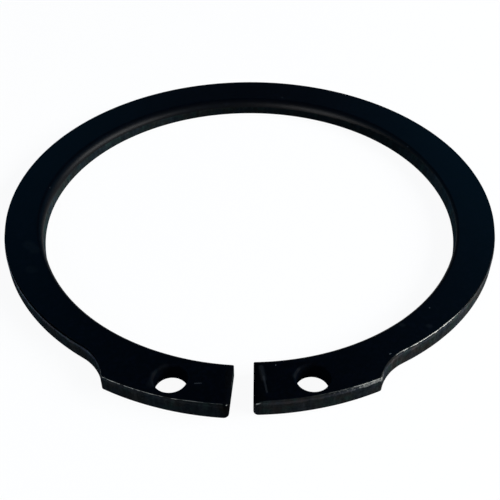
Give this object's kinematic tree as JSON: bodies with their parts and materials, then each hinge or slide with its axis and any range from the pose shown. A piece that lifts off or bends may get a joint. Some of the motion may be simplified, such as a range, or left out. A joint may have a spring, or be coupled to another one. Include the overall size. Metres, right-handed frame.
{
  "type": "snap ring",
  "caption": "External retaining ring: an open, tapered steel band with a round bore and a lug with a plier hole at each end, sprung into a shaft's groove.",
  "frame": {"origin": "centre of the bore, on the underside", "axes": "+Z along the ring's axis, towards the face that the picture shows; +Y away from the gap between the two ends"},
  "size_m": [0.0384, 0.0398, 0.0013],
  "materials": {
    "phosphated_steel": "black phosphate and oil over spring steel, satin, with bare metal worn through along the rim's upper edge"
  },
  "bodies": {
    "root": {"snap_ring": "phosphated_steel"}
  },
  "joints": []
}
